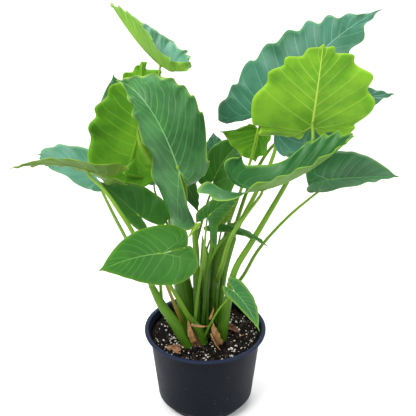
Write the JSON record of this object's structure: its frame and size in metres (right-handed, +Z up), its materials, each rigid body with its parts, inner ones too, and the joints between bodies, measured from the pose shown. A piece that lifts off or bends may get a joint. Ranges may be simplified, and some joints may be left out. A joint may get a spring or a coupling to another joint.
{
  "type": "potted alocasia gageana",
  "caption": "Bushy elephant-ear plant with wavy, arrow-shaped leaves on long arching stalks, standing in soil in a round tapered nursery pot with a rolled rim",
  "frame": {"origin": "on the axis of the pot, at the level of the surface it stands on, under the middle of the whole plant", "axes": "+Z up along the pot's axis, -Y towards the side seen in the picture, +X to the right of that view"},
  "size_m": [0.7731, 0.3547, 0.8326],
  "materials": {
    "pot": "satin",
    "soil": "matte",
    "stem": "satin",
    "stalk": "satin",
    "blade": "satin",
    "dry": "matte"
  },
  "bodies": {
    "root": {"pot": "pot", "soil": "soil", "stem_left": "stem", "stem_front": "stem", "stem_centre": "stem", "stem_right": "stem", "stem_rear": "stem", "leaf_top_left_blade": "blade", "leaf_top_left_stalk": "stalk", "leaf_rear_left_blade": "blade", "leaf_rear_left_stalk": "stalk", "leaf_back_left_blade": "blade", "leaf_back_left_stalk": "stalk", "leaf_centre_blade": "blade", "leaf_centre_stalk": "stalk", "leaf_far_left_blade": "blade", "leaf_far_left_stalk": "stalk", "leaf_left_rear_blade": "blade", "leaf_left_rear_stalk": "stalk", "leaf_front_left_blade": "blade", "leaf_front_left_stalk": "stalk", "leaf_small_rear_blade": "blade", "leaf_small_rear_stalk": "stalk", "leaf_left_shade_blade": "blade", "leaf_left_shade_stalk": "stalk", "leaf_top_right_blade": "blade", "leaf_top_right_stalk": "stalk", "leaf_lime_right_blade": "blade", "leaf_lime_right_stalk": "stalk", "leaf_folded_right_blade": "blade", "leaf_folded_right_stalk": "stalk", "leaf_far_right_blade": "blade", "leaf_far_right_stalk": "stalk", "leaf_small_right_blade": "blade", "leaf_small_right_stalk": "stalk", "leaf_small_front_blade": "blade", "leaf_small_front_stalk": "stalk", "leaf_behind_right_blade": "blade", "leaf_behind_right_stalk": "stalk", "leaf_centre_rear_blade": "blade", "leaf_centre_rear_stalk": "stalk", "leaf_centre_dark_blade": "blade", "leaf_centre_dark_stalk": "stalk", "leaf_centre_low_blade": "blade", "leaf_centre_low_stalk": "stalk", "leaf_rear_teal_blade": "blade", "leaf_rear_teal_stalk": "stalk", "leaf_inner_left_blade": "blade", "leaf_inner_left_stalk": "stalk", "leaf_pale_right_blade": "blade", "leaf_pale_right_stalk": "stalk", "litter_left": "dry", "litter_right": "dry", "husk_left": "dry", "husk_right": "dry", "old_stalk": "stalk"}
  },
  "joints": []
}
